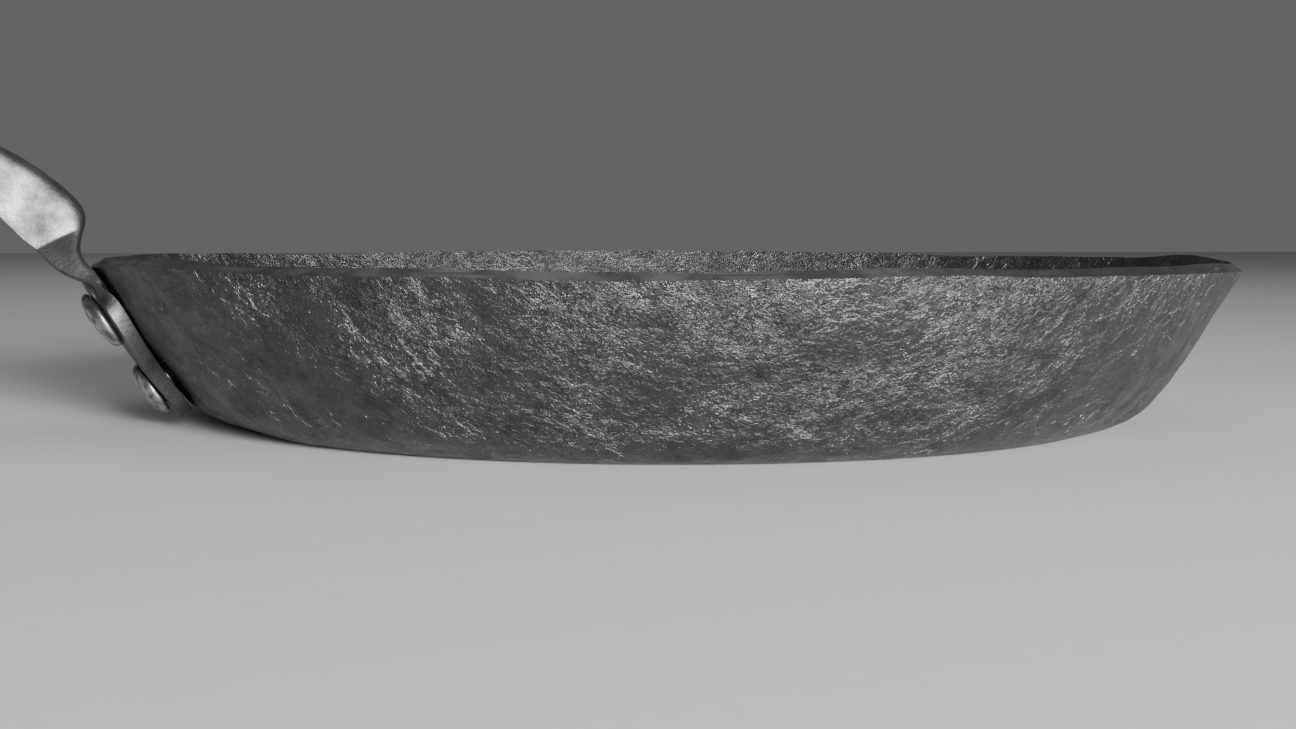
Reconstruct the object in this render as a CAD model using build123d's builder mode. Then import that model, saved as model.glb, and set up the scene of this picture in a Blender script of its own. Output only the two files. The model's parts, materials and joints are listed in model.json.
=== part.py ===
from build123d import *
import os
from math import asin, cos, radians, sin, tan

# A frying pan of hammered carbon steel: a dished body and a folded sheet handle held by three rivets.
# Millimetres. The origin is the centre of the base's underside, +Z is up, and the handle points along -X.

# Driving dimensions of the pan body
rim_radius = 139.5              # to the outer corner of the cut rim
pan_height = 40.0               # from the resting face to the top of the rim
wall_angle = 56.0               # degrees between the wall and the base
base_corner_radius = 22.0       # outside radius where the base turns up into the wall
pan_sheet = 3.0                 # thickness of the body's sheet
rim_edge_break = 0.5            # filed corner along the rim

# Driving dimensions of the handle
handle_sheet = 3.0              # thickness of the folded sheet
flange_sheet = 3.5              # the flange is upset a little where it is hammered to the wall
flange_corner_radius = 10.0     # rounding of the flange round each upper rivet
flange_end_radius = 9.5         # rounding of the flange's lower end
neck_half_width = 9.5
neck_clearance = 0.5            # gap between the neck's web and the wall above the flange
tip_half_width = 14.0
grip_bend = (230.0, 94.1)       # where the web's last bend would come to a corner: reach and height
handle_tip = (366.0, 112.0)     # the web's top at the handle's end: reach and height
hanging_hole_radius = 5.0

# Rivets: sideways offset from the handle's centre line, and distance below the rim along the wall
rivet_places = {
    "rivet_upper_left": (12.0, 11.0),
    "rivet_upper_right": (-12.0, 11.0),
    "rivet_lower": (0.0, 31.0),
}
rivet_shank_radius = 3.0
rivet_head_radius = 6.4
rivet_head_height = 2.4
rivet_head_rounding = 1.4
inner_head_radius = 6.2
inner_head_height = 1.6
head_bedding = 0.5              # how far a head starts inside the sheet, before the sheet is cut out of it

# Worked out from the wall's slope
slope = radians(wall_angle)
rim_corner_height = pan_height - pan_sheet * cos(slope)
rim_top_radius = rim_radius - pan_sheet * sin(slope)
outer_corner_reach = rim_radius - rim_corner_height / tan(slope)
inner_corner_reach = rim_top_radius - (pan_height - pan_sheet) / tan(slope)


def wall_point(below_rim, outward=0.0):
    """Reach and height of a point on the wall's outside, below the rim along the slope."""
    reach = rim_radius - below_rim * cos(slope) + outward * sin(slope)
    height = rim_corner_height - below_rim * sin(slope) - outward * cos(slope)
    return reach, height


def wall_plane(sideways, below_rim):
    """Plane on the wall's outside under the handle, with its normal pointing out of the pan."""
    reach, height = wall_point(below_rim)
    turn = asin(sideways / reach)
    normal = (-sin(slope) * cos(turn), -sin(slope) * sin(turn), -cos(slope))
    origin = (-reach * cos(turn), -reach * sin(turn), height)
    return Plane(origin=origin, x_dir=(sin(turn), -cos(turn), 0), z_dir=normal)


rivet_planes = {name: wall_plane(*place) for name, place in rivet_places.items()}

# ---- Pan body: one sheet, dished, with a square-cut rim and three rivet holes ----
with BuildPart() as pan_body:
    with BuildSketch(Plane.XZ) as body_section:
        with BuildLine():
            outside = FilletPolyline(
                (0, 0), (outer_corner_reach, 0), (rim_radius, rim_corner_height), radius=base_corner_radius
            )
            Line(outside @ 1, (rim_top_radius, pan_height))
            inside = FilletPolyline(
                (rim_top_radius, pan_height),
                (inner_corner_reach, pan_sheet),
                (0, pan_sheet),
                radius=base_corner_radius - pan_sheet,
            )
            Line(inside @ 1, (0, 0))
        make_face()
        rim_corners = body_section.vertices().sort_by(Axis.Y)[-2:]
        fillet(rim_corners, radius=rim_edge_break)
    revolve(axis=Axis.Z)
    for plane in rivet_planes.values():
        with BuildSketch(plane):
            Circle(rivet_shank_radius)
        extrude(amount=2 * pan_sheet, both=True, mode=Mode.SUBTRACT)

# ---- Handle: the side view's lines, from the flange over the rim and out along the grip ----
web_top_corners = [
    wall_point(14.0, neck_clearance),
    wall_point(-4.0, neck_clearance),   # the web leaves the wall's slope just above the rim
    (140.2, 51.0),                      # nose, where the neck turns out into the handle
    (152.0, 61.3),
    (185.0, 80.4),
    grip_bend,
    handle_tip,
]
web_top_radii = [10.0, 6.5, 40.0, 120.0, 200.0]
skirt_edge_corners = [
    (handle_tip[0], handle_tip[1] - 6.5),
    (230.0, 85.0),
    (185.0, 67.5),
    (159.0, 49.2),
    (146.0, 37.0),                      # the skirts die out at the flange's shoulders
    wall_point(12.0, flange_sheet),
]


def on_handle_side(corners):
    """Reach and height turned into side-view points: the handle lies on the -X side."""
    return [(-reach, height) for reach, height in corners]


def plan_solid(inset):
    """The strip's outline from above, which widens evenly from the neck to the rounded end."""
    neck_centre = rim_radius - 3 * neck_half_width
    tip_centre = handle_tip[0] - tip_half_width
    with BuildPart() as solid:
        with BuildSketch():
            with Locations((-neck_centre, 0)):
                Circle(neck_half_width - inset)
            with Locations((-tip_centre, 0)):
                Circle(tip_half_width - inset)
            make_hull()
        extrude(amount=4 * pan_height)
    return solid.part


with BuildPart() as web:
    with BuildSketch(Plane.XZ):
        with BuildLine():
            FilletPolyline(*on_handle_side(web_top_corners), radius=web_top_radii)
            offset(amount=handle_sheet, side=Side.LEFT)
        make_face()
    extrude(amount=2 * tip_half_width, both=True)

with BuildPart() as side_block:
    with BuildSketch(Plane.XZ):
        with BuildLine():
            top = FilletPolyline(*on_handle_side(web_top_corners), radius=web_top_radii)
            Polyline(top @ 1, *on_handle_side(skirt_edge_corners), top @ 0)
        make_face()
    extrude(amount=2 * tip_half_width, both=True)

flange_top, flange_bottom = -2.0, 45.0
flange_section = [
    wall_point(flange_top),
    wall_point(flange_bottom),
    wall_point(flange_bottom, flange_sheet),
    wall_point(flange_top, flange_sheet),
]
with BuildPart() as flange:
    with BuildSketch(Plane.XZ):
        with BuildLine():
            Polyline(*on_handle_side(flange_section), close=True)
        make_face()
    revolve(axis=Axis.Z, revolution_arc=30.0)
    mirror(about=Plane.XZ)
    with BuildSketch(wall_plane(0.0, 0.0)):
        for sideways, below_rim in rivet_places.values():
            with Locations((sideways, -below_rim)):
                Circle(flange_corner_radius if sideways else flange_end_radius)
        make_hull()
    extrude(amount=4 * flange_sheet, both=True, mode=Mode.INTERSECT)

# The hanging hole goes square through the web, on the centre of the rounded end
grip_run = Vector(handle_tip[0] - grip_bend[0], 0, handle_tip[1] - grip_bend[1])
hole_reach = handle_tip[0] - tip_half_width
hole_height = handle_tip[1] - tip_half_width * grip_run.Z / grip_run.X
hole_plane = Plane(
    origin=(-hole_reach, 0, hole_height), x_dir=(0, 1, 0), z_dir=(grip_run.Z, 0, grip_run.X)
)

with BuildPart() as handle:
    add(side_block.part)
    add(plan_solid(handle_sheet), mode=Mode.SUBTRACT)
    add(web.part)
    add(plan_solid(0.0), mode=Mode.INTERSECT)
    add(flange.part)
    with BuildSketch(hole_plane):
        Circle(hanging_hole_radius)
    extrude(amount=5 * handle_sheet, both=True, mode=Mode.SUBTRACT)
    for plane in rivet_planes.values():
        with BuildSketch(plane):
            Circle(rivet_shank_radius)
        extrude(amount=3 * flange_sheet, both=True, mode=Mode.SUBTRACT)

# ---- Write one file for each piece ----
os.makedirs("parts", exist_ok=True)

pan_body.part.label = "pan_body"
export_step(pan_body.part, "parts/pan_body.step")

handle.part.label = "handle"
export_step(handle.part, "parts/handle.step")

# ---- Rivets: a shank through both sheets, a head on the flange and a flatter one inside the pan ----
for name, plane in rivet_planes.items():
    with BuildPart() as rivet:
        with BuildSketch(plane.offset(-pan_sheet)):
            Circle(rivet_shank_radius)
        extrude(amount=pan_sheet + flange_sheet)
        with BuildSketch(plane.offset(flange_sheet - head_bedding)):
            Circle(rivet_head_radius)
        extrude(amount=rivet_head_height + head_bedding)
        outer_face = rivet.faces().sort_by(Axis(plane.origin, plane.z_dir))[-1]
        fillet(outer_face.edges(), radius=rivet_head_rounding)
        with BuildSketch(plane.offset(head_bedding - pan_sheet)):
            Circle(inner_head_radius)
        extrude(amount=-(inner_head_height + head_bedding))
        add(pan_body.part, mode=Mode.SUBTRACT)
        add(handle.part, mode=Mode.SUBTRACT)
    rivet.part.label = name
    export_step(rivet.part, f"parts/{name}.step")
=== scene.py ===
import json
from math import cos, pi, radians, sin, tan

import bmesh
import bpy
from mathutils import Matrix, Vector


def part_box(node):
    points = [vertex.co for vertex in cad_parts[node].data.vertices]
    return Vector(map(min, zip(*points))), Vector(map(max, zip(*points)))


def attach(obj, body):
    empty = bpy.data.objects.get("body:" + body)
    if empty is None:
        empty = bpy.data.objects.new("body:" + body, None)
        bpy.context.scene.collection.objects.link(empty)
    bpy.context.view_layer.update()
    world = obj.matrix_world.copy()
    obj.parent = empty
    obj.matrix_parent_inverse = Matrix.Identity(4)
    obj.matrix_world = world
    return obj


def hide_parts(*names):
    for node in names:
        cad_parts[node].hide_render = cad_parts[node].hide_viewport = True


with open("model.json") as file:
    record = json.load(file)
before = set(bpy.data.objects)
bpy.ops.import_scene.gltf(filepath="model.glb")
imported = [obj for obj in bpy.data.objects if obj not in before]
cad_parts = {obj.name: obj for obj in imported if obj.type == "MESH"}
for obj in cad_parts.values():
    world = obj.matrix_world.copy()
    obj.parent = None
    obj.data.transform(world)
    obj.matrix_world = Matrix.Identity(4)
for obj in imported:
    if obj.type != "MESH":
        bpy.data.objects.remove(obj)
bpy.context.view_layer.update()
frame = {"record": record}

MM = 0.001

# ---- Sizes taken from the frame, in metres ----
body_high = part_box("pan_body")[1]
rim_radius = body_high.x
rim_height = body_high.z
mounts = {mount["name"]: mount for mount in frame["record"]["mounts"]}
hole_centre = Vector(mounts["hanging_hole"]["pos_m"])
hole_radius = mounts["hanging_hole"]["dims"]["r_mm"] * MM
hole_axis = Vector(mounts["hanging_hole"]["axis"])

# ---- Sizes of the sheet work ----
sheet = 3.0 * MM
slope = radians(56)
base_corner = 20.0 * MM
wall_crown = 1.1 * MM           # how far the wall swells out from its straight slope, halfway up
weld = 0.02 * MM                # points closer than this become one where a spun shell closes
rim_corner_height = rim_height - sheet * cos(slope)
base_corner_reach = rim_radius - rim_corner_height / tan(slope)
rim_inner_radius = rim_radius - sheet * sin(slope)
wall_run = (rim_corner_height - base_corner * (1 - cos(slope))) / sin(slope)


# ---- Hand tools: starting a piece, choosing parts of it, finishing it ----
def put_down():
    """Leaves edit mode with nothing selected, so that the next operator acts on its own piece only."""
    if bpy.context.object and bpy.context.object.mode != "OBJECT":
        bpy.ops.object.mode_set(mode="OBJECT")
    bpy.ops.object.select_all(action="DESELECT")


def take_up(piece):
    put_down()
    bpy.context.view_layer.objects.active = piece
    piece.select_set(True)


def choose(piece, rule, kind="VERT"):
    """Selects the vertices, edges or faces in edit mode whose middle passes the rule."""
    bpy.ops.mesh.select_mode(type=kind)
    bpy.ops.mesh.select_all(action="DESELECT")
    shape = bmesh.from_edit_mesh(piece.data)
    if kind == "VERT":
        for vertex in shape.verts:
            vertex.select_set(rule(vertex.co))
    elif kind == "EDGE":
        for edge in shape.edges:
            edge.select_set(rule((edge.verts[0].co + edge.verts[1].co) / 2))
    else:
        for face in shape.faces:
            face.select_set(rule(face.calc_center_median()))
    shape.select_flush_mode()
    bmesh.update_edit_mesh(piece.data)


def finish_modifier(piece, kind, **settings):
    """Adds a modifier with its settings and applies it."""
    take_up(piece)
    modifier = piece.modifiers.new(kind.lower(), kind)
    for name, value in settings.items():
        setattr(modifier, name, value)
    bpy.ops.object.modifier_apply(modifier=modifier.name)


def draw_line(name, points):
    """A chain of edges through the points, pulled out of one vertex."""
    put_down()
    bpy.ops.mesh.primitive_plane_add(size=MM, location=(0, 0, 0))
    piece = bpy.context.object
    piece.name = name
    bpy.ops.object.mode_set(mode="EDIT")
    bpy.ops.mesh.select_mode(type="VERT")
    bpy.ops.mesh.merge(type="CENTER")
    here = Vector(points[0])
    bpy.ops.transform.translate(value=here)
    for point in points[1:]:
        step = Vector(point) - here
        bpy.ops.mesh.extrude_vertices_move(TRANSFORM_OT_translate={"value": step})
        here = Vector(point)
    return piece


def arc(centre, radius, start, end, steps):
    """Points on an arc in the side view, angles in radians."""
    turns = [start + (end - start) * i / steps for i in range(steps + 1)]
    return [(centre[0] + radius * cos(a), centre[1] + radius * sin(a)) for a in turns]


def along(start, end, steps):
    """Points on a straight line in the side view."""
    parts = [i / steps for i in range(steps + 1)]
    return [(start[0] + (end[0] - start[0]) * t, start[1] + (end[1] - start[1]) * t) for t in parts]


# ---- Pan body ----
def wall_outset(below_rim):
    """How far the wall stands out from the straight slope, at a distance below the rim along it."""
    along_wall = below_rim / wall_run
    return wall_crown * 4 * along_wall * (1 - along_wall) if 0 < along_wall < 1 else 0.0


def wall_place(below_rim, outward=0.0):
    """Reach and height of a point on or off the wall's outside, below the rim along the slope."""
    off = outward + wall_outset(below_rim)
    reach = rim_radius - below_rim * cos(slope) + off * sin(slope)
    height = rim_corner_height - below_rim * sin(slope) - off * cos(slope)
    return reach, height


def body_profile():
    """The sheet's section from the middle of the base, out under it, up the wall, over the rim and back."""
    flat = base_corner_reach - base_corner * tan(slope / 2)
    outer_arc = arc((flat, base_corner), base_corner, -pi / 2, -pi / 2 + slope, 16)
    inner_arc = arc((flat, base_corner), base_corner - sheet, -pi / 2 + slope, -pi / 2, 12)
    rim_outer = (rim_radius, rim_corner_height)
    rim_inner = (rim_inner_radius, rim_height)
    base = along((0, 0), (flat, 0), 12)
    wall = [wall_place(wall_run * (1 - i / 34)) for i in range(35)]
    lip = along(rim_outer, rim_inner, 5)
    inner_wall = [wall_place(wall_run * i / 24, -sheet) for i in range(25)]
    floor = along((flat, sheet), (0, sheet), 10)
    line = base + outer_arc[1:] + wall[1:] + lip[1:] + inner_wall[1:] + inner_arc[1:] + floor[1:]
    return [(reach, 0, height) for reach, height in line]


def spin_round(piece, steps):
    """Spins the drawn line into a closed round shell."""
    bpy.ops.mesh.select_all(action="SELECT")
    bpy.ops.mesh.spin(steps=steps, angle=2 * pi, center=(0, 0, 0), axis=(0, 0, 1))
    bpy.ops.mesh.select_all(action="SELECT")
    bpy.ops.mesh.remove_doubles(threshold=weld)
    bpy.ops.mesh.normals_make_consistent(inside=False)
    put_down()
    take_up(piece)


def weigh(piece, name, rule):
    """A vertex group whose weight at each vertex comes from the rule."""
    group = piece.vertex_groups.new(name=name)
    for vertex in piece.data.vertices:
        weight = rule(vertex.co)
        if weight > 0:
            group.add([vertex.index], min(weight, 1), "REPLACE")
    return name


def hammer(piece, kind, blow_size, depth, group, **settings):
    """Beats a pattern of dents of that size and depth into the vertices of a group."""
    pattern = bpy.data.textures.new(f"{kind.lower()}_blows", kind)
    pattern.noise_scale = blow_size
    for name, value in settings.items():
        setattr(pattern, name, value)
    finish_modifier(
        piece, "DISPLACE", texture=pattern, texture_coords="LOCAL", strength=depth, vertex_group=group
    )
    bpy.data.textures.remove(pattern)


def side_of_sheet(place):
    """How far a point lies outside the middle of the sheet, in metres: positive on the outer side."""
    reach = (place.x ** 2 + place.y ** 2) ** 0.5
    across_wall = (reach - rim_radius) * sin(slope) - (place.z - rim_corner_height) * cos(slope) + sheet / 2
    across_base = sheet / 2 - place.z
    return max(across_wall, across_base)


def fade(value, start, end):
    """0 before start, 1 after end, and even between them."""
    return max(0.0, min(1.0, (value - start) / (end - start)))


# Knocks that put the body out of true: azimuth in degrees, height, push outward, push up and reach in mm
rim_knocks = [
    (-160, 40, 0.2, 0.9, 45),
    (-112, 40, 0.3, -0.4, 30),
    (-86, 40, -0.3, 0.5, 28),
    (-62, 40, 0.4, 0.1, 28),
    (-38, 40, 0.9, -0.2, 22),
    (-12, 40, 0.6, 0.8, 34),
    (30, 40, 0.3, -0.5, 40),
    (75, 40, -0.5, 0.4, 45),
    (120, 40, 0.4, -0.5, 40),
    (155, 40, 0.3, 0.4, 35),
]
wall_knocks = [
    (-97, 31, 0.7, 0.0, 11),
    (-88, 31, 0.9, 0.0, 12),
    (-79, 31, 0.6, 0.0, 11),
    (-58, 26, -0.7, 0.0, 14),
    (-48, 16, 0.6, 0.0, 14),
    (-36, 8, 1.5, -0.2, 30),
    (-75, 20, 0.7, 0.0, 22),
    (-100, 24, -0.6, 0.0, 20),
    (-125, 18, 0.5, 0.0, 24),
    (-168, 8, -0.6, 0.9, 30),
    (40, 16, 0.8, 0.0, 30),
    (95, 20, -0.6, 0.0, 26),
    (140, 18, 0.6, 0.0, 28),
]
knock_grip = 2.5 * MM           # how near a point has to be to be pushed by the full amount


def knock(body, azimuth, height, outward, up, reach):
    """Pushes a soft dent or swelling into the body round one spot."""
    out = Vector((cos(radians(azimuth)), sin(radians(azimuth)), 0))
    below_rim = (rim_height - height * MM) / sin(slope)
    spot = out * (rim_radius - below_rim * cos(slope)) + Vector((0, 0, height * MM))
    choose(body, lambda place: (place - spot).length < knock_grip)
    bpy.ops.transform.translate(
        value=out * outward * MM + Vector((0, 0, up * MM)),
        use_proportional_edit=True,
        proportional_edit_falloff="SMOOTH",
        proportional_size=reach * MM,
    )


def outer_side(place):
    """1 on the outer side of the sheet, and 0 inside and on the base, which stays flat to stand on."""
    return fade(side_of_sheet(place), -0.2 * MM, 1.0 * MM) * fade(place.z, 0.2 * MM, 6 * MM)


def inner_side(place):
    """1 on the inner side of the sheet and 0 outside."""
    return fade(-side_of_sheet(place), -0.2 * MM, 1.0 * MM)


def make_body():
    body = draw_line("hammered_body", body_profile())
    spin_round(body, 600)
    bpy.ops.object.mode_set(mode="EDIT")
    for spot in rim_knocks + wall_knocks:
        knock(body, *spot)
    put_down()
    outer = weigh(body, "outer_side", outer_side)
    inner = weigh(body, "inner_side", inner_side)
    hammer(body, "CLOUDS", 30 * MM, 1.0 * MM, outer, noise_depth=1)
    hammer(body, "CLOUDS", 30 * MM, -0.8 * MM, inner, noise_depth=1)
    hammer(body, "VORONOI", 13 * MM, 0.55 * MM, outer)
    hammer(body, "VORONOI", 19 * MM, 0.35 * MM, inner)
    hammer(body, "CLOUDS", 4 * MM, 0.25 * MM, outer, noise_depth=2)
    take_up(body)
    bpy.ops.object.shade_smooth_by_angle(angle=radians(35))
    return body


body = make_body()
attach(body, "root")
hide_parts("pan_body")

# ---- Handle: a strip hammered to the wall at one end and folded down along its edges from the neck on ----
handle_sheet = 3.3 * MM
flange_gap = 0.5 * MM           # between the flange and the uneven wall
# The flange, from its lower end up: distance below the rim along the slope, half-width, and height of the
# lip that its sides are turned up to, in mm
flange_rows = [
    (40.4, 3.5, 0.0),
    (39.2, 6.6, 0.0),
    (36.4, 8.9, 0.0),
    (32.0, 10.9, 0.0),
    (26.0, 14.2, 0.0),
    (20.0, 18.0, 0.0),
    (15.0, 20.8, 0.0),
    (10.5, 21.8, 0.0),
    (6.2, 21.0, 0.0),
    (3.2, 19.0, 1.5),
    (0.6, 17.2, 2.8),
]
# The folded strip, from the neck to the end. For each row: reach and height of the web, then reach, height
# and half-width of the skirt's edge, in mm. The web leaves the wall at the rim, rises to a nose and then
# turns out.
handle_rows = [
    (141.0, 39.3, 143.4, 36.0, 16.0),
    (142.2, 42.0, 146.6, 37.6, 14.4),
    (141.7, 44.7, 149.2, 39.9, 12.6),
    (140.7, 47.6, 151.6, 42.3, 10.7),
    (140.3, 49.7, 154.0, 44.1, 10.6),
    (141.3, 52.3, 155.9, 46.0, 10.5),
    (143.9, 55.3, 157.7, 47.9, 10.5),
    (148.2, 58.9, 160.0, 50.3, 10.6),
    (153.6, 62.4, 163.4, 53.6, 10.6),
    (160.0, 66.1, 168.2, 57.4, 10.8),
    (169.0, 71.2, 175.5, 62.2, 10.9),
    (178.0, 76.1, 183.0, 66.8, 11.0),
    (190.0, 81.3, 193.5, 71.8, 11.2),
    (205.0, 86.3, 207.5, 77.2, 11.5),
    (222.0, 91.2, 223.5, 82.5, 11.8),
    (245.0, 95.9, 246.0, 87.2, 12.2),
    (275.0, 100.0, 275.6, 91.4, 12.8),
    (305.0, 104.0, 305.4, 96.0, 13.3),
    (322.0, 106.2, 322.3, 99.2, 13.6),
    (334.0, 107.8, 334.3, 102.6, 13.8),
    (343.0, 109.0, 343.3, 105.2, 13.9),
    (351.0, 110.0, 351.3, 106.4, 13.7),
    (357.5, 110.9, 357.8, 107.3, 12.2),
    (362.0, 111.5, 362.2, 107.9, 9.4),
    (364.9, 111.9, 365.1, 108.3, 5.6),
    (366.0, 112.0, 366.2, 108.4, 2.4),
]
# Columns of the strip from its middle to its edge: part of the web, then part of the skirt
handle_columns = [(0.0, 0.0), (0.45, 0.0), (0.82, 0.0), (1.0, 0.16), (1.0, 0.55), (1.0, 1.0)]
flat_columns = (0.0, 0.28, 0.52, 0.72, 0.86, 1.0)       # the same columns where the strip lies flat
crease_row = 3                  # the row where the skirts turn into the neck with a sharp bend


def on_wall(across, below_rim, outward):
    """A point off the round wall under the handle, across from the handle's middle."""
    reach, height = wall_place(below_rim, outward)
    turn = across / reach
    return Vector((-reach * cos(turn), reach * sin(turn), height))


def flange_row(below_rim, half_width, lip):
    """The row's points from its middle to its edge, bent to the round wall."""
    if lip:
        parts = [(on_web, lip * on_skirt) for on_web, on_skirt in handle_columns]
    else:
        parts = [(part, 0.0) for part in flat_columns]
    return [
        on_wall(half_width * MM * across, below_rim * MM, flange_gap + raised * MM)
        for across, raised in parts
    ]


def folded_row(web_reach, web_height, edge_reach, edge_height, half_width):
    """The row's points from the web's middle, over the rounded fold, to the skirt's edge."""
    corner = Vector((-web_reach, half_width, web_height)) * MM
    skirt_edge = Vector((-edge_reach, half_width, edge_height)) * MM
    row = []
    for on_web, on_skirt in handle_columns:
        place = corner.lerp(skirt_edge, on_skirt)
        place.y *= on_web
        row.append(place)
    return row


def make_strip():
    """A flat grid whose rows of points are moved to their places along the handle."""
    rows = [flange_row(*row) for row in flange_rows] + [folded_row(*row) for row in handle_rows]
    last_column = len(handle_columns) - 1
    put_down()
    bpy.ops.mesh.primitive_grid_add(x_subdivisions=len(rows) - 1, y_subdivisions=2 * last_column, size=2)
    strip = bpy.context.object
    strip.name = "handle_strip"
    for vertex in strip.data.vertices:
        row = rows[round((vertex.co.x + 1) / 2 * (len(rows) - 1))]
        column = round(vertex.co.y * last_column)
        place = row[abs(column)].copy()
        if column > 0:
            place.y = -place.y
        vertex.co = place
    return strip


def on_crease(middle):
    """Whether a point is the middle of an edge in a skirt's part of the creased row."""
    row = folded_row(*handle_rows[crease_row])[3:]
    middle_side = Vector((middle.x, abs(middle.y), middle.z))
    return any((middle_side - (a + b) / 2).length < 0.3 * MM for a, b in zip(row, row[1:]))


def make_hole_cutter():
    """A spool that cuts the hanging hole and breaks its two edges."""
    half = handle_sheet / 2
    flare = 4 * MM
    edge_break = 0.6 * MM
    side = [
        (0, -half - flare),
        (hole_radius + flare, -half - flare),
        (hole_radius, -half + edge_break),
        (hole_radius, half - edge_break),
        (hole_radius + flare, half + flare),
        (0, half + flare),
    ]
    cutter = draw_line("hole_cutter", [(reach, 0, height) for reach, height in side])
    spin_round(cutter, 40)
    tilt = Vector((0, 0, 1)).rotation_difference(hole_axis).to_matrix().to_4x4()
    cutter.data.transform(Matrix.Translation(hole_centre) @ tilt)
    return cutter


def make_handle():
    strip = make_strip()
    take_up(strip)
    bpy.ops.object.mode_set(mode="EDIT")
    choose(strip, on_crease, kind="EDGE")
    bpy.ops.transform.edge_crease(value=0.8)
    put_down()
    finish_modifier(
        strip,
        "SOLIDIFY",
        thickness=handle_sheet,
        offset=-1,
        use_even_offset=True,
        edge_crease_inner=0.75,
        edge_crease_outer=0.75,
    )
    finish_modifier(strip, "SUBSURF", levels=3, render_levels=3)
    cutter = make_hole_cutter()
    finish_modifier(strip, "BOOLEAN", operation="DIFFERENCE", solver="EXACT", object=cutter)
    bpy.data.objects.remove(cutter)
    take_up(strip)
    whole = weigh(strip, "whole", lambda p: 1.0 - 0.7 * fade(-p.x, 140 * MM, 120 * MM))
    hammer(strip, "CLOUDS", 16 * MM, 0.5 * MM, whole, noise_depth=1)
    hammer(strip, "CLOUDS", 3 * MM, 0.12 * MM, whole, noise_depth=1)
    take_up(strip)
    bpy.ops.object.shade_smooth_by_angle(angle=radians(40))
    return strip


handle = make_handle()
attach(handle, "root")
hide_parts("handle")

# ---- Rivets: set hot through flange and wall, the outer heads beaten to a low dome ----
# Across from the handle's middle and below the rim along the slope, in mm
rivet_places = {
    "rivet_upper_left": (-12.0, 11.0),
    "rivet_upper_right": (12.0, 11.0),
    "rivet_lower": (0.0, 31.0),
}
flange_face = flange_gap + handle_sheet


def make_rivet():
    """One rivet standing up, with the outside of the wall at height 0."""
    seat = flange_face / MM
    side = [
        (0.0, -4.75),
        (3.2, -4.7),
        (5.3, -4.4),
        (6.2, -3.7),
        (6.2, -2.9),
        (3.0, -2.6),
        (3.0, seat - 0.3),
        (6.4, seat - 0.2),
        (6.8, seat + 0.7),
        (6.3, seat + 1.8),
        (4.9, seat + 2.6),
        (2.8, seat + 3.0),
        (0.0, seat + 3.1),
    ]
    rivet = draw_line("rivet", [(reach * MM, 0, height * MM) for reach, height in side])
    spin_round(rivet, 24)
    finish_modifier(rivet, "SUBSURF", levels=2, render_levels=2)
    return rivet


def set_rivet(rivet, name, across, below_rim):
    """A copy of the rivet, turned and put through the wall, its heads beaten unevenly."""
    foot = on_wall(across * MM, below_rim * MM, 0)
    head = on_wall(across * MM, below_rim * MM, 10 * MM)
    copy = rivet.copy()
    copy.data = rivet.data.copy()
    copy.name = name + "_set"
    bpy.context.scene.collection.objects.link(copy)
    upright = Vector((0, 0, 1)).rotation_difference(head - foot).to_matrix().to_4x4()
    copy.data.transform(Matrix.Translation(foot) @ upright)
    heads = weigh(copy, "heads", lambda p: 1.0)
    hammer(copy, "CLOUDS", 5 * MM, 0.7 * MM, heads, noise_depth=1)
    take_up(copy)
    bpy.ops.object.shade_smooth_by_angle(angle=radians(50))
    return copy


rivet_pattern = make_rivet()
rivets = []
for name, (across, below_rim) in rivet_places.items():
    rivet = set_rivet(rivet_pattern, name, across, below_rim)
    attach(rivet, "root")
    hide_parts(name)
    rivets.append(rivet)
bpy.data.objects.remove(rivet_pattern)

# ---- Floor ----
floor_width = 6.0
put_down()
bpy.ops.mesh.primitive_plane_add(size=floor_width, location=(0, 0, 0))
floor = bpy.context.object
floor.name = "studio_floor"


# ---- Materials: patterns in millimetres on Object coordinates ----
def paint(code):
    """Linear colour from an sRGB hex code."""
    parts = [int(code[i:i + 2], 16) / 255 for i in (1, 3, 5)]
    return tuple(p / 12.92 if p <= 0.04045 else ((p + 0.055) / 1.055) ** 2.4 for p in parts) + (1.0,)


def add_node(tree, kind, inputs=None, **settings):
    """Adds a node, sets its properties, and fills its inputs with values or links."""
    node = tree.nodes.new(kind)
    for name, value in settings.items():
        setattr(node, name, value)
    for name, value in (inputs or {}).items():
        if isinstance(value, bpy.types.NodeSocket):
            tree.links.new(value, node.inputs[name])
        else:
            node.inputs[name].default_value = value
    return node


def start_material(name):
    """A material with its node tree and its shader."""
    material = bpy.data.materials.new(name)
    material.use_nodes = True
    return material, material.node_tree, material.node_tree.nodes["Principled BSDF"]


def finish_metal(tree, shader, colour, gloss, bump):
    """Bare metal with that colour, roughness and relief."""
    shader.inputs["Metallic"].default_value = 1.0
    tree.links.new(colour.outputs[2], shader.inputs["Base Color"])
    tree.links.new(gloss.outputs[0], shader.inputs["Roughness"])
    tree.links.new(bump.outputs[0], shader.inputs["Normal"])


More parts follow.
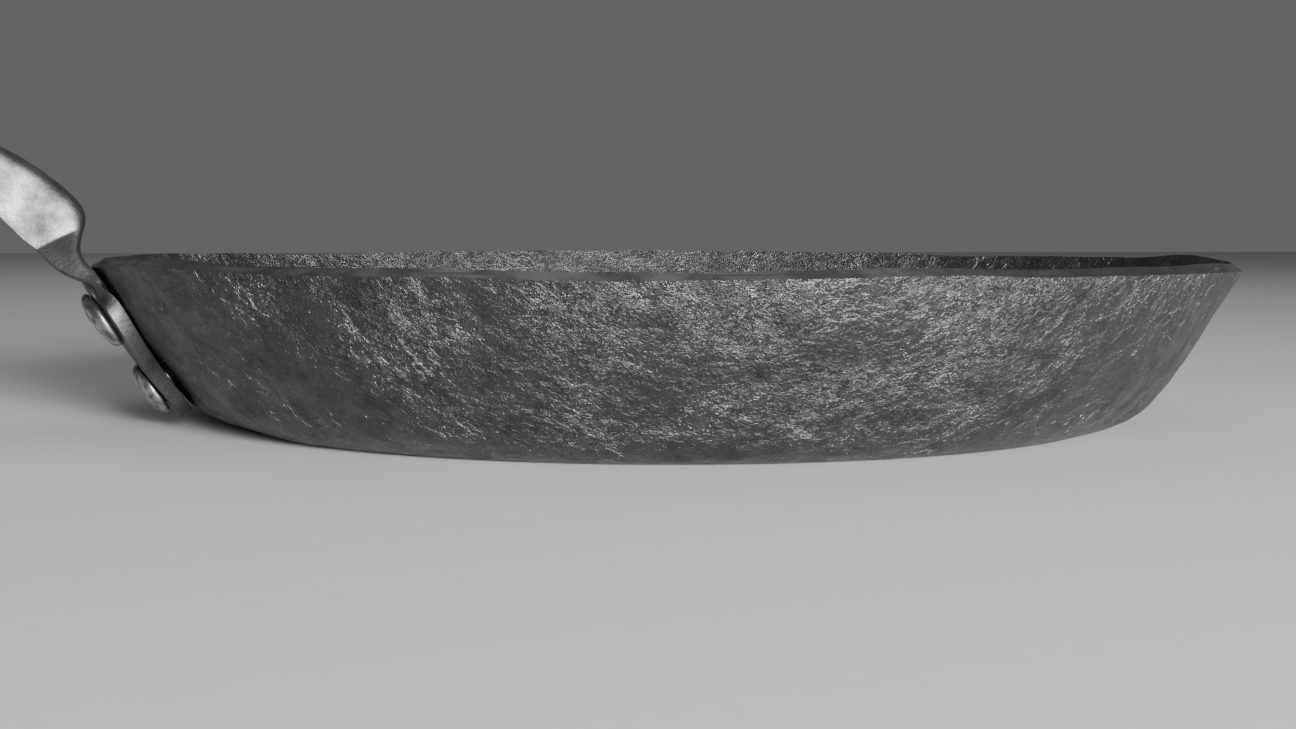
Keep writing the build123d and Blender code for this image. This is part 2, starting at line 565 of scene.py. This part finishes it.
def hammered_carbon_steel():
    """Carbon steel sheet, hot hammered and seasoned: dark oxide with a waxy half gloss, its skin grained
    like leather, with thin raised wrinkles of scale in clusters, small pits, and smooth dull patches."""
    material, tree, shader = start_material("hammered_carbon_steel")
    place = add_node(tree, "ShaderNodeTexCoord").outputs["Object"]
    sway = add_node(tree, "ShaderNodeTexNoise", {"Vector": place, "Scale": 1 / (4 * MM), "Detail": 4.0})
    sway_centred = add_node(
        tree, "ShaderNodeVectorMath", {0: sway.outputs["Color"], 1: (0.5, 0.5, 0.5)}, operation="SUBTRACT"
    )
    sway_far = add_node(
        tree, "ShaderNodeVectorMath", {0: sway_centred.outputs[0], "Scale": 8 * MM}, operation="SCALE"
    )
    sway_sum = add_node(tree, "ShaderNodeVectorMath", {0: place, 1: sway_far.outputs[0]}, operation="ADD")
    swayed = sway_sum.outputs[0]

    # Patches where the skin wrinkled, about 25 mm across, and mottling about 8 mm across
    patches = add_node(tree, "ShaderNodeTexNoise", {"Vector": place, "Scale": 1 / (25 * MM), "Detail": 4.0})
    wrinkled = add_node(
        tree, "ShaderNodeMapRange", {"Value": patches.outputs["Fac"], "From Min": 0.46, "From Max": 0.66}
    )
    mottle = add_node(
        tree, "ShaderNodeTexNoise", {"Vector": swayed, "Scale": 1 / (8 * MM), "Detail": 8.0, "Roughness": 0.7}
    )

    # Wrinkles: thin broken ridges along the borders of cells 4 mm across
    cells = add_node(
        tree, "ShaderNodeTexVoronoi", {"Vector": swayed, "Scale": 1 / (4 * MM)}, feature="DISTANCE_TO_EDGE"
    )
    ridges = add_node(
        tree,
        "ShaderNodeMapRange",
        {"Value": cells.outputs["Distance"], "From Min": 0.0, "From Max": 0.06, "To Min": 1.0, "To Max": 0.0},
        interpolation_type="SMOOTHSTEP",
    )
    breaks = add_node(tree, "ShaderNodeTexNoise", {"Vector": place, "Scale": 1 / (3 * MM), "Detail": 3.0})
    broken = add_node(
        tree, "ShaderNodeMapRange", {"Value": breaks.outputs["Fac"], "From Min": 0.48, "From Max": 0.6}
    )
    short_ridges = add_node(
        tree, "ShaderNodeMath", {0: ridges.outputs[0], 1: broken.outputs[0]}, operation="MULTIPLY"
    )
    ridge_height = add_node(
        tree, "ShaderNodeMath", {0: short_ridges.outputs[0], 1: wrinkled.outputs[0]}, operation="MULTIPLY"
    )

    # Grain of the scaled skin, 0.7 mm and finer, strongest in the wrinkled patches, and pits 2.4 mm apart
    grain = add_node(
        tree,
        "ShaderNodeTexNoise",
        {"Vector": swayed, "Scale": 1 / (0.7 * MM), "Detail": 3.0, "Roughness": 0.6},
    )
    grain_depth = add_node(
        tree,
        "ShaderNodeMapRange",
        {"Value": patches.outputs["Fac"], "From Min": 0.35, "From Max": 0.65, "To Min": 0.25, "To Max": 0.65},
    )
    pits = add_node(tree, "ShaderNodeTexVoronoi", {"Vector": swayed, "Scale": 1 / (2.4 * MM)}, feature="F1")
    pit_depth = add_node(
        tree,
        "ShaderNodeMapRange",
        {"Value": pits.outputs["Distance"], "From Min": 0.06, "From Max": 0.3, "To Min": 1.0, "To Max": 0.0},
        interpolation_type="SMOOTHSTEP",
    )
    pitted = add_node(
        tree, "ShaderNodeMapRange", {"Value": mottle.outputs["Fac"], "From Min": 0.5, "From Max": 0.62}
    )
    pit_height = add_node(
        tree, "ShaderNodeMath", {0: pit_depth.outputs[0], 1: pitted.outputs[0]}, operation="MULTIPLY"
    )

    # Hammer streaks: long shallow marks, 2 mm wide and 12 mm long, leaning to the right
    streak_size = (1 / (12 * MM), 1 / (5 * MM), 1 / (2 * MM))
    lean = add_node(
        tree,
        "ShaderNodeMapping",
        {"Vector": swayed, "Rotation": (0.0, radians(28), 0.0), "Scale": streak_size},
    )
    streaks = add_node(
        tree, "ShaderNodeTexNoise", {"Vector": lean.outputs[0], "Scale": 1.0, "Detail": 4.0, "Roughness": 0.6}
    )

    # Relief in millimetres: grain, then streaks, wrinkles and pits
    grain_relief = add_node(
        tree, "ShaderNodeMath", {0: grain.outputs["Fac"], 1: grain_depth.outputs[0]}, operation="MULTIPLY"
    )
    with_streaks = add_node(
        tree,
        "ShaderNodeMath",
        {0: streaks.outputs["Fac"], 1: 0.5, 2: grain_relief.outputs[0]},
        operation="MULTIPLY_ADD",
    )
    with_ridges = add_node(
        tree,
        "ShaderNodeMath",
        {0: ridge_height.outputs[0], 1: 0.45, 2: with_streaks.outputs[0]},
        operation="MULTIPLY_ADD",
    )
    relief = add_node(
        tree,
        "ShaderNodeMath",
        {0: pit_height.outputs[0], 1: -0.3, 2: with_ridges.outputs[0]},
        operation="MULTIPLY_ADD",
    )
    bump = add_node(tree, "ShaderNodeBump", {"Height": relief.outputs[0], "Distance": MM, "Strength": 1.0})

    # Colour: oxide from near black to grey, paler where wrinkles were rubbed
    tone = add_node(
        tree, "ShaderNodeMapRange", {"Value": mottle.outputs["Fac"], "From Min": 0.34, "From Max": 0.66}
    )
    oxide = add_node(
        tree,
        "ShaderNodeMix",
        {0: tone.outputs[0], 6: paint("#3b3b3c"), 7: paint("#626263")},
        data_type="RGBA",
    )
    rubbed = add_node(
        tree,
        "ShaderNodeMix",
        {0: ridge_height.outputs[0], 6: oxide.outputs[2], 7: paint("#8a8a8a")},
        data_type="RGBA",
    )
    gloss = add_node(
        tree,
        "ShaderNodeMapRange",
        {"Value": mottle.outputs["Fac"], "From Min": 0.35, "From Max": 0.65, "To Min": 0.52, "To Max": 0.32},
    )
    finish_metal(tree, shader, rubbed, gloss, bump)
    return material


def filed_rim_steel():
    """The sheet's cut edge, filed level and darkened by heat: smooth grey with fine file marks along it."""
    material, tree, shader = start_material("filed_rim_steel")
    place = add_node(tree, "ShaderNodeTexCoord").outputs["Object"]
    wear = add_node(tree, "ShaderNodeTexNoise", {"Vector": place, "Scale": 1 / (6 * MM), "Detail": 5.0})
    marks = add_node(tree, "ShaderNodeTexNoise", {"Vector": place, "Scale": 1 / (0.7 * MM), "Detail": 2.0})
    tone = add_node(
        tree, "ShaderNodeMapRange", {"Value": wear.outputs["Fac"], "From Min": 0.35, "From Max": 0.65}
    )
    colour = add_node(
        tree,
        "ShaderNodeMix",
        {0: tone.outputs[0], 6: paint("#4a4a4b"), 7: paint("#6e6e6f")},
        data_type="RGBA",
    )
    gloss = add_node(
        tree,
        "ShaderNodeMapRange",
        {"Value": wear.outputs["Fac"], "From Min": 0.35, "From Max": 0.65, "To Min": 0.5, "To Max": 0.36},
    )
    relief = add_node(tree, "ShaderNodeMath", {0: marks.outputs["Fac"], 1: 0.05}, operation="MULTIPLY")
    bump = add_node(tree, "ShaderNodeBump", {"Height": relief.outputs[0], "Distance": MM, "Strength": 1.0})
    finish_metal(tree, shader, colour, gloss, bump)
    return material


def scrubbed_forged_steel():
    """Mild steel strip, forged and wire brushed: satin grey, clouded by darker scale left in the hollows."""
    material, tree, shader = start_material("scrubbed_forged_steel")
    place = add_node(tree, "ShaderNodeTexCoord").outputs["Object"]
    clouds = add_node(
        tree, "ShaderNodeTexNoise", {"Vector": place, "Scale": 1 / (9 * MM), "Detail": 6.0, "Roughness": 0.6}
    )
    specks = add_node(
        tree,
        "ShaderNodeTexNoise",
        {"Vector": place, "Scale": 1 / (0.8 * MM), "Detail": 3.0, "Roughness": 0.6},
    )
    tone = add_node(
        tree, "ShaderNodeMapRange", {"Value": clouds.outputs["Fac"], "From Min": 0.34, "From Max": 0.62}
    )
    colour = add_node(
        tree,
        "ShaderNodeMix",
        {0: tone.outputs[0], 6: paint("#3c3c3d"), 7: paint("#606060")},
        data_type="RGBA",
    )
    gloss = add_node(
        tree,
        "ShaderNodeMapRange",
        {"Value": clouds.outputs["Fac"], "From Min": 0.35, "From Max": 0.65, "To Min": 0.6, "To Max": 0.42},
    )
    relief = add_node(tree, "ShaderNodeMath", {0: specks.outputs["Fac"], 1: 0.1}, operation="MULTIPLY")
    bump = add_node(tree, "ShaderNodeBump", {"Height": relief.outputs[0], "Distance": MM, "Strength": 1.0})
    finish_metal(tree, shader, colour, gloss, bump)
    return material


def beaten_rivet_steel():
    """Steel rivets, headed hot with a hammer: dark scale with small bright worn facets."""
    material, tree, shader = start_material("beaten_rivet_steel")
    place = add_node(tree, "ShaderNodeTexCoord").outputs["Object"]
    blows = add_node(
        tree, "ShaderNodeTexVoronoi", {"Vector": place, "Scale": 1 / (3.2 * MM)}, feature="SMOOTH_F1"
    )
    wear = add_node(tree, "ShaderNodeTexNoise", {"Vector": place, "Scale": 1 / (2 * MM), "Detail": 5.0})
    tone = add_node(
        tree, "ShaderNodeMapRange", {"Value": wear.outputs["Fac"], "From Min": 0.38, "From Max": 0.62}
    )
    colour = add_node(
        tree,
        "ShaderNodeMix",
        {0: tone.outputs[0], 6: paint("#5f6062"), 7: paint("#aaaaab")},
        data_type="RGBA",
    )
    relief = add_node(tree, "ShaderNodeMath", {0: blows.outputs["Distance"], 1: 0.35}, operation="MULTIPLY")
    bump = add_node(tree, "ShaderNodeBump", {"Height": relief.outputs[0], "Distance": MM, "Strength": 1.0})
    gloss = add_node(
        tree,
        "ShaderNodeMapRange",
        {"Value": wear.outputs["Fac"], "From Min": 0.35, "From Max": 0.65, "To Min": 0.5, "To Max": 0.3},
    )
    finish_metal(tree, shader, colour, gloss, bump)
    return material


def backdrop_paper():
    """Matt studio paper: pale grey, with a faint fibre grain."""
    material, tree, shader = start_material("matt_backdrop_paper")
    place = add_node(tree, "ShaderNodeTexCoord").outputs["Object"]
    fibre = add_node(tree, "ShaderNodeTexNoise", {"Vector": place, "Scale": 1 / (3 * MM), "Detail": 4.0})
    colour = add_node(
        tree,
        "ShaderNodeMix",
        {0: fibre.outputs["Fac"], 6: paint("#b9b9b9"), 7: paint("#bfbfbf")},
        data_type="RGBA",
    )
    shader.inputs["Roughness"].default_value = 0.9
    tree.links.new(colour.outputs[2], shader.inputs["Base Color"])
    return material


floor.data.materials.append(backdrop_paper())
body.data.materials.append(hammered_carbon_steel())
body.data.materials.append(filed_rim_steel())
cut_edge_depth = 0.35 * MM      # how far below the lip the dents may have taken the filed edge
cut_edge_facing = 0.55          # the least upward part of a filed face's normal
for face in body.data.polygons:
    middle = face.center
    reach = (middle.x ** 2 + middle.y ** 2) ** 0.5
    above_lip = (middle.z - rim_corner_height) * sin(slope) + (reach - rim_radius) * cos(slope)
    if above_lip > -cut_edge_depth and abs(face.normal.z) > cut_edge_facing:
        face.material_index = 1
handle.data.materials.append(scrubbed_forged_steel())
rivet_finish = beaten_rivet_steel()
for rivet in rivets:
    rivet.data.materials.append(rivet_finish)

# ---- Camera ----
camera_distance = 0.500         # from the pan's centre line
camera_side = radians(18)       # how far round it stands towards the handle
camera_height = rim_height + 7.95 * MM
camera_dip = radians(3.99)
camera_swing = -0.0080          # radians it is turned off the pan's centre line
camera_roll = radians(0.166)

camera_data = bpy.data.cameras.new("camera")
camera_data.lens = 54.94
camera_data.sensor_width = 36
camera = bpy.data.objects.new("camera", camera_data)
bpy.context.scene.collection.objects.link(camera)
camera_place = (
    -camera_distance * sin(camera_side),
    -camera_distance * cos(camera_side),
    camera_height,
)
camera.matrix_world = (
    Matrix.Translation(camera_place)
    @ Matrix.Rotation(-(camera_side + camera_swing), 4, "Z")
    @ Matrix.Rotation(pi / 2 - camera_dip, 4, "X")
    @ Matrix.Rotation(camera_roll, 4, "Z")
)
bpy.context.scene.camera = camera


# ---- Lights ----
def softbox(name, place, aim, width, height, power, spread):
    """A soft area light, out of the camera's sight, whose beam opens by the spread in degrees."""
    data = bpy.data.lights.new(name, "AREA")
    data.shape = "RECTANGLE"
    data.energy = power
    data.size = width
    data.size_y = height
    data.spread = radians(spread)
    light = bpy.data.objects.new(name, data)
    bpy.context.scene.collection.objects.link(light)
    light.location = place
    light.rotation_euler = (Vector(aim) - Vector(place)).to_track_quat("-Z", "Y").to_euler()
    light.visible_camera = False


softbox("key_softbox", (0.12, -1.5, 0.24), (0.0, -0.13, 0.036), 0.50, 0.34, 46, 120)
softbox("top_softbox", (0.1, 0.35, 1.5), (0, 0, 0), 1.6, 1.6, 5, 170)

studio_fill = 0.13              # even light from all round
world = bpy.data.worlds.new("studio")
world.use_nodes = True
world.node_tree.nodes["Background"].inputs["Color"].default_value = (studio_fill,) * 3 + (1,)
bpy.context.scene.world = world
